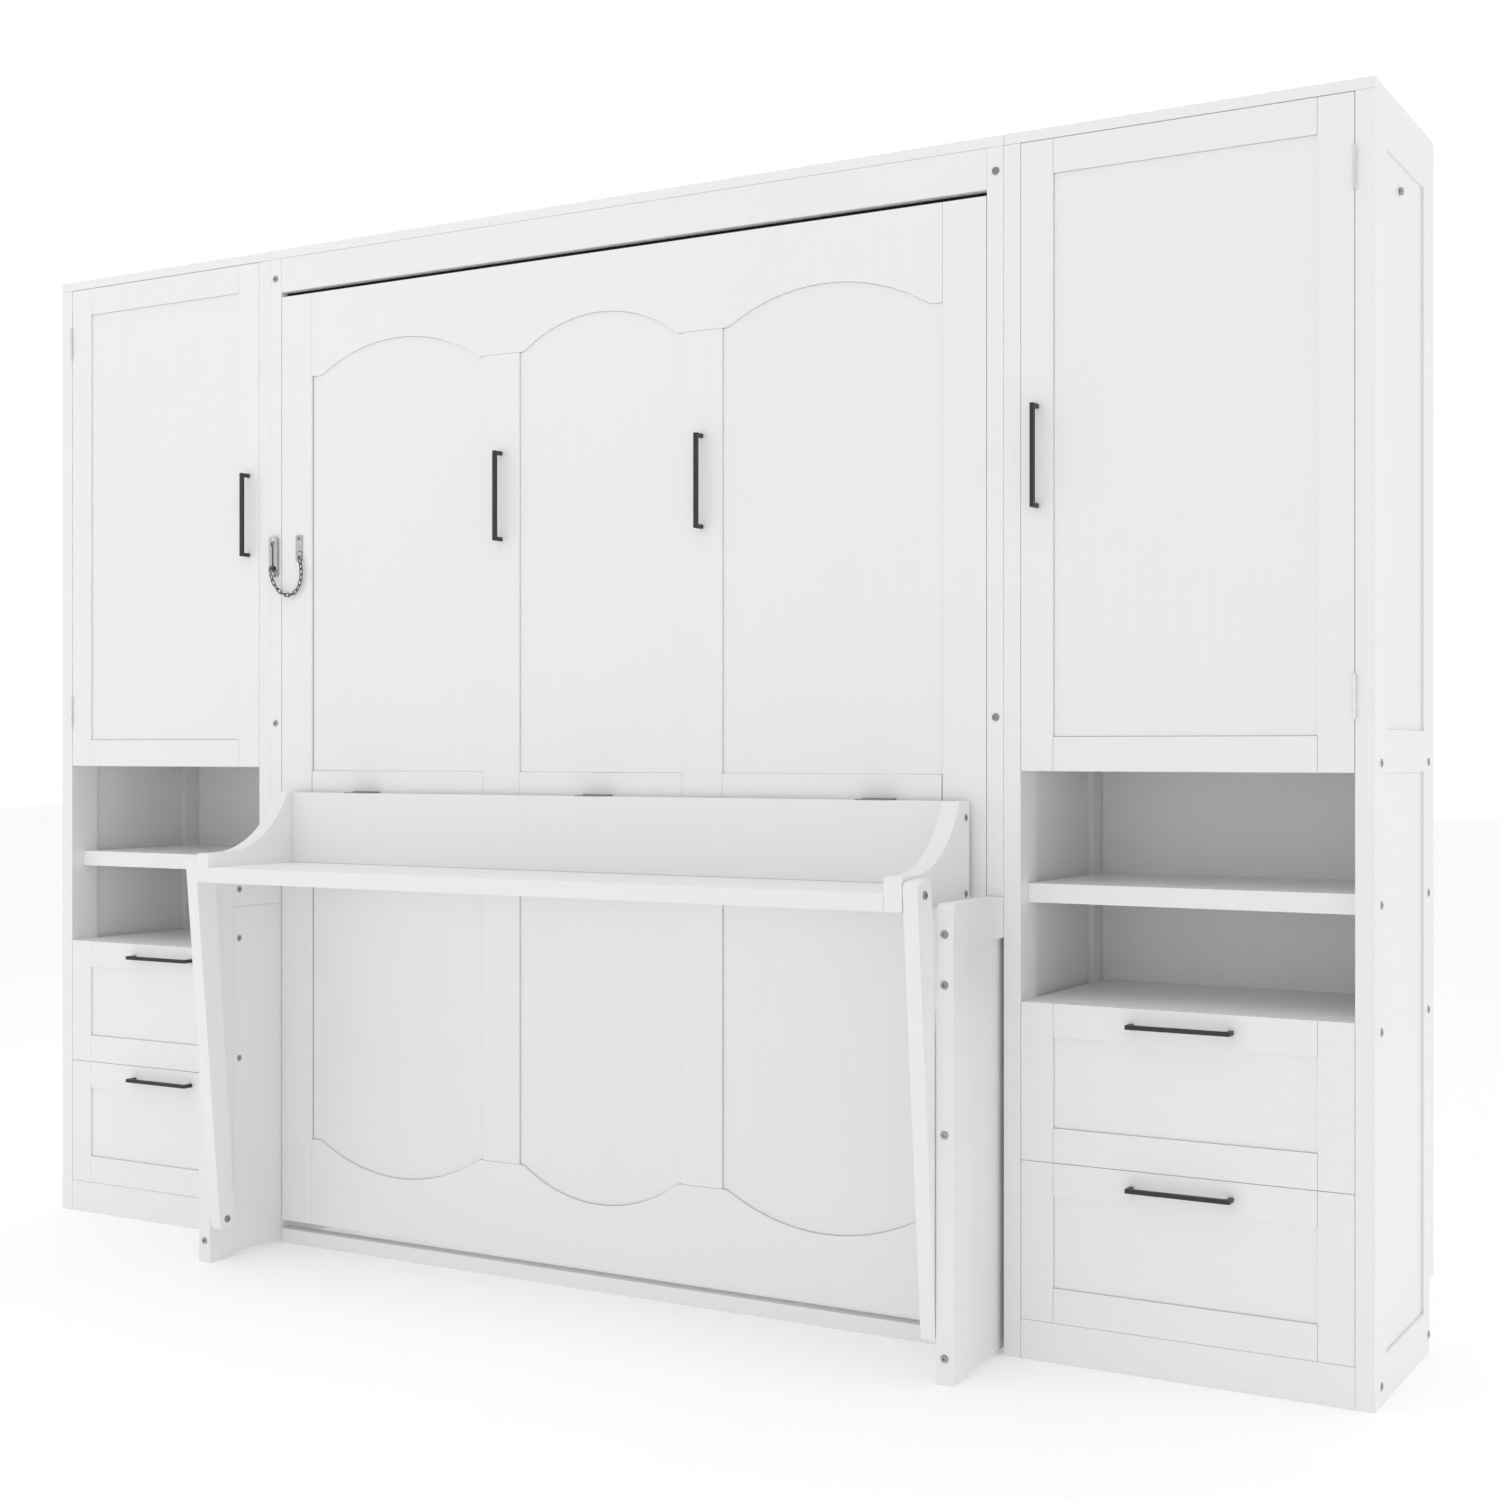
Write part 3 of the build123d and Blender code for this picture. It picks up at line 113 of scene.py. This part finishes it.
# ---------------------------------------------------------------- node helpers
class Shader:
    """A new material with its node tree, and short ways to add and link nodes."""

    def __init__(self, name):
        self.material = bpy.data.materials.new(name)
        self.material.use_nodes = True
        self.tree = self.material.node_tree
        self.bsdf = self.tree.nodes["Principled BSDF"]
        self.coords = self.add("ShaderNodeTexCoord").outputs["Object"]

    def add(self, kind, **settings):
        node = self.tree.nodes.new(kind)
        for key, value in settings.items():
            setattr(node, key, value)
        return node

    def link(self, out, into):
        self.tree.links.new(out, into)

    def set(self, **values):
        for key, value in values.items():
            self.bsdf.inputs[key.replace("_", " ")].default_value = value

    def stretched(self, scale):
        """Object coordinates scaled differently along each axis."""
        mapping = self.add("ShaderNodeMapping")
        self.link(self.coords, mapping.inputs["Vector"])
        mapping.inputs["Scale"].default_value = scale
        return mapping.outputs["Vector"]

    def noise(self, scale, detail=3.0, vector=None, roughness=0.5):
        node = self.add("ShaderNodeTexNoise")
        node.inputs["Scale"].default_value = scale
        node.inputs["Detail"].default_value = detail
        node.inputs["Roughness"].default_value = roughness
        self.link(vector or self.coords, node.inputs["Vector"])
        return node.outputs["Fac"]

    def span(self, value, low, high):
        """Maps a value from 0..1 to low..high."""
        node = self.add("ShaderNodeMapRange")
        node.inputs["To Min"].default_value = low
        node.inputs["To Max"].default_value = high
        self.link(value, node.inputs["Value"])
        return node.outputs["Result"]

    def ramp(self, value, *stops):
        """A colour ramp between two (place, colour) stops."""
        node = self.add("ShaderNodeValToRGB")
        for element, (place, colour) in zip(node.color_ramp.elements, stops, strict=True):
            element.position = place
            element.color = (*colour, 1.0)
        self.link(value, node.inputs["Fac"])
        return node.outputs["Color"]

    def multiply(self, first, second):
        node = self.add("ShaderNodeMix", data_type="RGBA", blend_type="MULTIPLY")
        node.inputs["Factor"].default_value = 1.0
        self.link(first, node.inputs["A"])
        self.link(second, node.inputs["B"])
        return node.outputs["Result"]

    def bump(self, heights):
        """Adds up bumps, each a (value, strength, distance) triple."""
        normal = None
        for value, strength, distance in heights:
            node = self.add("ShaderNodeBump")
            node.inputs["Strength"].default_value = strength
            node.inputs["Distance"].default_value = distance
            self.link(value, node.inputs["Height"])
            if normal is not None:
                self.link(normal, node.inputs["Normal"])
            normal = node.outputs["Normal"]
        self.link(normal, self.bsdf.inputs["Normal"])


# ---------------------------------------------------------------- materials
def white_paint(name, grain):
    """Satin white paint over wood; grain holds the streaks' scale along each axis."""
    paint = Shader(name)
    cloud = paint.noise(1.7, 2.0)
    streak = paint.noise(1.0, 5.0, paint.stretched(grain), 0.6)
    board = paint.add("ShaderNodeNewGeometry").outputs["Random Per Island"]
    tone = paint.ramp(cloud, (0.3, (0.900, 0.895, 0.886)), (0.7, (0.910, 0.907, 0.900)))
    grain_tone = paint.ramp(streak, (0.35, (0.995, 0.994, 0.993)), (0.65, WHITE))
    board_tone = paint.ramp(board, (0.0, (0.988, 0.988, 0.986)), (1.0, WHITE))
    colour = paint.multiply(paint.multiply(tone, grain_tone), board_tone)
    paint.link(colour, paint.bsdf.inputs["Base Color"])
    paint.link(paint.span(paint.noise(38.0, 4.0), 0.36, 0.48), paint.bsdf.inputs["Roughness"])
    peel = paint.noise(520.0, 2.0)
    paint.bump([(streak, 0.035, 0.0004), (peel, 0.08, 0.0002)])
    paint.set(Specular_IOR_Level=0.35)
    return paint.material


def black_metal():
    """Matt black powder coat."""
    coat = Shader("black_powder_coat")
    cloud = coat.noise(60.0, 3.0)
    speck = coat.noise(2600.0, 2.0)
    coat.link(
        coat.ramp(cloud, (0.3, (0.016, 0.016, 0.017)), (0.7, (0.027, 0.027, 0.028))),
        coat.bsdf.inputs["Base Color"],
    )
    coat.link(coat.span(speck, 0.36, 0.56), coat.bsdf.inputs["Roughness"])
    coat.bump([(speck, 0.25, 0.0001)])
    return coat.material


def plated(name, low, high, roughness, brush):
    """Plated metal between two tones, with fine brushing or polish marks."""
    metal = Shader(name)
    marks = metal.noise(1.0, 3.0, metal.stretched(brush), 0.6)
    cloud = metal.noise(90.0, 2.0)
    metal.link(metal.ramp(cloud, (0.3, low), (0.7, high)), metal.bsdf.inputs["Base Color"])
    metal.link(metal.span(marks, *roughness), metal.bsdf.inputs["Roughness"])
    metal.bump([(marks, 0.08, 0.00008)])
    metal.set(Metallic=1.0)
    return metal.material


def bare_pine():
    """Planed pine with growth rings along X, fibre streaks and a tone per board."""
    pine = Shader("bare_pine")
    flow = pine.noise(1.0, 4.0, pine.stretched((1.4, 22, 22)), 0.55)
    rings = pine.add("ShaderNodeTexWave", wave_type="BANDS", bands_direction="Z")
    rings.inputs["Scale"].default_value = 26.0
    rings.inputs["Distortion"].default_value = 7.0
    rings.inputs["Detail"].default_value = 3.0
    rings.inputs["Detail Scale"].default_value = 0.8
    pine.link(pine.stretched((0.12, 1, 1)), rings.inputs["Vector"])
    tone = pine.ramp(rings.outputs["Fac"], (0.15, (0.70, 0.50, 0.30)), (0.85, (0.80, 0.63, 0.42)))
    fibre = pine.ramp(flow, (0.3, (0.90, 0.86, 0.80)), (0.7, WHITE))
    board = pine.add("ShaderNodeNewGeometry").outputs["Random Per Island"]
    board_tone = pine.ramp(board, (0.0, (0.90, 0.88, 0.86)), (1.0, WHITE))
    colour = pine.multiply(pine.multiply(tone, fibre), board_tone)
    pine.link(colour, pine.bsdf.inputs["Base Color"])
    pine.link(pine.span(flow, 0.5, 0.68), pine.bsdf.inputs["Roughness"])
    pine.bump([(flow, 0.25, 0.0004)])
    return pine.material


def shade_strip_matt():
    """Soft matt black for the header strip, painted shade in the gap above the bed face."""
    soft = Shader("painted_shade_black")
    cloud = soft.noise(80.0, 3.0)
    soft.link(
        soft.ramp(cloud, (0.3, (0.010, 0.010, 0.010)), (0.7, (0.018, 0.018, 0.018))),
        soft.bsdf.inputs["Base Color"],
    )
    soft.link(soft.span(cloud, 0.7, 0.85), soft.bsdf.inputs["Roughness"])
    soft.bump([(soft.noise(1500.0, 2.0), 0.2, 0.0001)])
    soft.set(Specular_IOR_Level=0.2)
    return soft.material


def gloss_black():
    """Enamel on the gas struts' tubes."""
    enamel = Shader("strut_enamel")
    cloud = enamel.noise(45.0, 2.0)
    enamel.link(
        enamel.ramp(cloud, (0.3, (0.012, 0.012, 0.012)), (0.7, (0.020, 0.020, 0.021))),
        enamel.bsdf.inputs["Base Color"],
    )
    enamel.link(enamel.span(cloud, 0.14, 0.24), enamel.bsdf.inputs["Roughness"])
    enamel.bump([(enamel.noise(700.0, 2.0), 0.05, 0.0001)])
    enamel.set(Coat_Weight=0.4)
    return enamel.material


PAINT_ALONG = white_paint("white_paint_x", (3, 60, 60))
PAINT_UPRIGHT = white_paint("white_paint_z", (60, 60, 3))
BLACK = black_metal()
CHROME = plated("chrome_plate", (0.44, 0.44, 0.45), (0.52, 0.52, 0.53), (0.12, 0.24), (300, 300, 300))
BOLT_STEEL = plated("bolt_steel", (0.34, 0.34, 0.34), (0.42, 0.42, 0.42), (0.18, 0.32), (400, 400, 400))
# Painted reflection: the chain's chrome gets a very dark base colour that paints in the dark reflections
# chrome shows.
CHAIN_PAINTED_REFLECTION = plated("chain_painted_dark_reflection", (0.13, 0.13, 0.13), (0.18, 0.18, 0.18), (0.14, 0.26), (400, 400, 400))
# Painted shade: a darker copy of the satin nickel, standing for the shadow in the hinges' gaps.
SHADED_HINGE_NICKEL = plated("nickel_painted_shade", (0.20, 0.20, 0.20), (0.30, 0.30, 0.29), (0.30, 0.44), (900, 900, 60))
NICKEL = plated("satin_nickel", (0.86, 0.85, 0.84), (0.93, 0.92, 0.91), (0.26, 0.40), (900, 900, 60))
ZINC = plated("zinc_plate", (0.52, 0.53, 0.55), (0.64, 0.65, 0.66), (0.28, 0.46), (200, 200, 200))
PINE = bare_pine()
ENAMEL = gloss_black()


# ---------------------------------------------------------------- dressing the CAD nodes
def clean_up_group():
    """A node group that joins split vertices and drops stored normals, ready for rounding."""
    group = bpy.data.node_groups.new("join_split_vertices", "GeometryNodeTree")
    group.interface.new_socket("Geometry", in_out="INPUT", socket_type="NodeSocketGeometry")
    group.interface.new_socket("Geometry", in_out="OUTPUT", socket_type="NodeSocketGeometry")
    start = group.nodes.new("NodeGroupInput")
    end = group.nodes.new("NodeGroupOutput")
    merge = group.nodes.new("GeometryNodeMergeByDistance")
    merge.inputs["Distance"].default_value = WELD
    drop = group.nodes.new("GeometryNodeRemoveAttribute")
    drop.inputs["Name"].default_value = "custom_normal"
    smooth = group.nodes.new("GeometryNodeSetShadeSmooth")
    chain = (start, merge, drop, smooth, end)
    for before, after in zip(chain, chain[1:]):
        group.links.new(before.outputs["Geometry"], after.inputs["Geometry"])
    return group


CLEAN_UP = clean_up_group()


def soften(piece, width, segments=2):
    """Rounds a piece's hard edges with modifiers, leaving its own mesh alone."""
    join = piece.modifiers.new("join", "NODES")
    join.node_group = CLEAN_UP
    flatten = piece.modifiers.new("flatten", "DECIMATE")
    flatten.decimate_type = "DISSOLVE"
    flatten.angle_limit = math.radians(FLAT_ANGLE)
    bevel = piece.modifiers.new("round_edges", "BEVEL")
    bevel.width = width
    bevel.segments = segments
    bevel.limit_method = "ANGLE"
    bevel.angle_limit = math.radians(HARD_ANGLE)
    bevel.harden_normals = True


def dress(names, material, edge=None, segments=2):
    """Gives CAD nodes a material, and rounds their edges."""
    for name in names:
        node = nodes[name]
        node.data.materials.clear()
        node.data.materials.append(material)
        if edge:
            soften(node, edge, segments)


def named(*starts):
    """CAD nodes whose names start with any of the given words."""
    return [name for name in sorted(nodes) if name.startswith(starts)]


UPRIGHT_BOARDS = named("cabinet_outer", "cabinet_inner", "cabinet_back", "centre_upper", "centre_lower")
LONG_BOARDS = named("cabinet_tops", "cabinet_plinths", "centre_top", "centre_back_rails", "header_rail",
                    "base_rail", "cabinet_floors", "niche_shelves", "shelf_board", "shelf_back_board")
DRAWERS = [f"drawer_{level}_{side}" for level in ("upper", "lower") for side in ("left", "right")]
SOFT_BOARDS = named("arm_", "shelf_cheeks")

dress(UPRIGHT_BOARDS, PAINT_UPRIGHT, BOARD_EDGE)
dress(LONG_BOARDS, PAINT_ALONG, BOARD_EDGE)
dress(named("door_left", "door_right", "bed_face", "bed_box"), PAINT_UPRIGHT, BOARD_EDGE)
dress(DRAWERS, PAINT_ALONG, BOARD_EDGE)
dress(SOFT_BOARDS, PAINT_UPRIGHT, SOFT_EDGE, 3)
dress(named("door_handle", "drawer_handle", "bed_pull_handles"), BLACK, METAL_EDGE)
# The chain's links and slider get the dark chrome, a painted reflection.
dress(["chain_links", "chain_slider"], CHAIN_PAINTED_REFLECTION)
dress(["chain_track", "chain_anchor", "clothes_rails"], CHROME)
dress(["frame_bolts", "shelf_bolts"], BOLT_STEEL, METAL_EDGE)
dress(named("post_hinge", "door_hinge"), NICKEL)
# The shelf and bed hinges get the darker nickel, painted shade for their gaps.
dress(named("shelf_hinge", "bed_hinge"), SHADED_HINGE_NICKEL)
dress(["bed_pivot_plates", "bed_pivot_pins", "drawer_runners", "strut_studs", "strut_rods"], ZINC)
dress(["strut_cylinders"], ENAMEL)
dress(["bed_slats", "bed_centre_beam"], PINE, BOARD_EDGE)


# ---------------------------------------------------------------- fittings added to the CAD
def new_piece(name, mesh, material, body):
    """Turns a finished bmesh into an object that rides on a body."""
    data = bpy.data.meshes.new(name)
    mesh.to_mesh(data)
    mesh.free()
    data.shade_smooth()
    piece = bpy.data.objects.new(name, data)
    bpy.context.scene.collection.objects.link(piece)
    data.materials.append(material)
    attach(piece, body)
    return piece


def add_screw_head(mesh, place, out, radius):
    """Adds a countersunk cross-head screw to a mesh, facing along out."""
    turn = Vector((0, 0, 1)).rotation_difference(Vector(out)).to_matrix().to_4x4()
    placed = Matrix.Translation(place) @ turn
    rings = []
    for share, height in SCREW_PROFILE:
        ring = []
        for step in range(SCREW_SIDES):
            angle = 2 * math.pi * step / SCREW_SIDES
            cross = RECESS[0] + RECESS[1] * abs(math.cos(2 * angle))
            pinch = cross if share == SCREW_PROFILE[0][0] else 1.0
            spot = Vector((math.cos(angle), math.sin(angle), 0)) * share * radius * pinch
            ring.append(mesh.verts.new(placed @ (spot + Vector((0, 0, height * radius)))))
        rings.append(ring)
    for inner, outer in zip(rings, rings[1:]):
        for step in range(SCREW_SIDES):
            after = (step + 1) % SCREW_SIDES
            mesh.faces.new((inner[step], outer[step], outer[after], inner[after]))
    mesh.faces.new(rings[0])
    mesh.faces.new(list(reversed(rings[-1])))


def chain_plate_screws():
    """Screws that hold the chain's plates: two in the bed's stile and one in the post."""
    low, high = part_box("chain_anchor")
    middle = (low[0] + high[0]) / 2
    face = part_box("bed_face_frame")[0][1] - ANCHOR_THICK
    mesh = bmesh.new()
    for height in (high[2] - ANCHOR_SCREWS_IN[0], low[2] + ANCHOR_SCREWS_IN[1]):
        add_screw_head(mesh, Vector((middle, face, height)), (0, -1, 0), ANCHOR_SCREW_R)
    new_piece("chain_anchor_screws", mesh, BLACK, "bed")

    low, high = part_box("chain_track")
    mesh = bmesh.new()
    place = Vector(((low[0] + high[0]) / 2, low[1], high[2] - TRACK_SCREW_IN))
    add_screw_head(mesh, place, (0, -1, 0), TRACK_SCREW_R)
    new_piece("chain_track_screw", mesh, NICKEL, "root")


def header_shade_strip():
    """A black strip behind the header, painted shade in the gap above the bed face."""
    low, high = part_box("header_rail")
    bed_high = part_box("bed_box_rails")[1]
    back = high[1] + SHADE_STRIP_THICK
    bottom = bed_high[2] + SHADE_STRIP_LIFT
    top = bottom + SHADE_STRIP_TALL
    mesh = bmesh.new()
    lip = (
        (high[1], bottom + SHADE_STRIP_BEVEL),
        (high[1] + SHADE_STRIP_ROUND, bottom),
        (back - SHADE_STRIP_ROUND, bottom),
        (back, bottom + 2 * SHADE_STRIP_BEVEL),
        (back, top - SHADE_STRIP_BEVEL),
        (back - SHADE_STRIP_BEVEL, top),
        (high[1], top),
    )
    ends = []
    for x in (low[0], high[0]):
        ends.append([mesh.verts.new((x, y, z)) for y, z in lip])
    for step in range(len(lip)):
        after = (step + 1) % len(lip)
        mesh.faces.new((ends[0][step], ends[1][step], ends[1][after], ends[0][after]))
    mesh.faces.new(ends[1])
    mesh.faces.new(list(reversed(ends[0])))
    piece = new_piece("header_shade_strip", mesh, shade_strip_matt(), "root")
    piece.data.shade_flat()


# Painted shade: a black strip fills the gap between the header and the bed face.
header_shade_strip()
chain_plate_screws()


# ---------------------------------------------------------------- stage
def build_stage():
    """A pale floor, white surroundings, soft lights and the camera."""
    scene = bpy.context.scene
    scene.view_settings.view_transform = "Standard"

    world = bpy.data.worlds.new("white_studio")
    scene.world = world
    world.use_nodes = True
    tree = world.node_tree
    direction = tree.nodes.new("ShaderNodeTexCoord")
    split = tree.nodes.new("ShaderNodeSeparateXYZ")
    fade = tree.nodes.new("ShaderNodeMapRange")
    fade.inputs["From Min"].default_value = -ROOM_FADE
    fade.inputs["From Max"].default_value = ROOM_FADE
    fade.inputs["To Min"].default_value = ROOM_FRONT
    fade.inputs["To Max"].default_value = ROOM_BACK
    tree.links.new(direction.outputs["Generated"], split.inputs["Vector"])
    tree.links.new(split.outputs["Y"], fade.inputs["Value"])
    tree.links.new(fade.outputs["Result"], tree.nodes["Background"].inputs["Strength"])
    tree.nodes["Background"].inputs["Color"].default_value = (*WHITE, 1.0)

    bpy.ops.mesh.primitive_plane_add(size=FLOOR_SIZE, location=(0, 0, 0))
    floor = bpy.context.object
    floor.name = "floor"
    pale = Shader("pale_floor")
    tone = pale.ramp(pale.noise(0.6, 2.0), (0.3, (0.93, 0.93, 0.93)), (0.7, (0.95, 0.95, 0.95)))
    pale.link(tone, pale.bsdf.inputs["Base Color"])
    pale.set(Roughness=0.9, Specular_IOR_Level=0.1, Emission_Strength=FLOOR_GLOW)
    pale.set(Emission_Color=(*WHITE, 1.0))
    floor.data.materials.append(pale.material)

    for name, place, aim, width, power in LAMPS:
        data = bpy.data.lights.new(name, "AREA")
        data.shape = "SQUARE"
        data.size = width
        data.energy = power
        lamp = bpy.data.objects.new(name, data)
        lamp.location = place
        lamp.rotation_euler = (Vector(aim) - Vector(place)).to_track_quat("-Z", "Y").to_euler()
        scene.collection.objects.link(lamp)

    camera = bpy.data.objects.new("camera", bpy.data.cameras.new("camera"))
    camera.data.lens = LENS_MM
    camera.data.sensor_width = SENSOR_MM
    camera.data.clip_end = SIGHT
    camera.location = CAMERA_AT
    camera.rotation_euler = (math.radians(90), 0, math.radians(CAMERA_YAW))
    scene.collection.objects.link(camera)
    scene.camera = camera


build_stage()
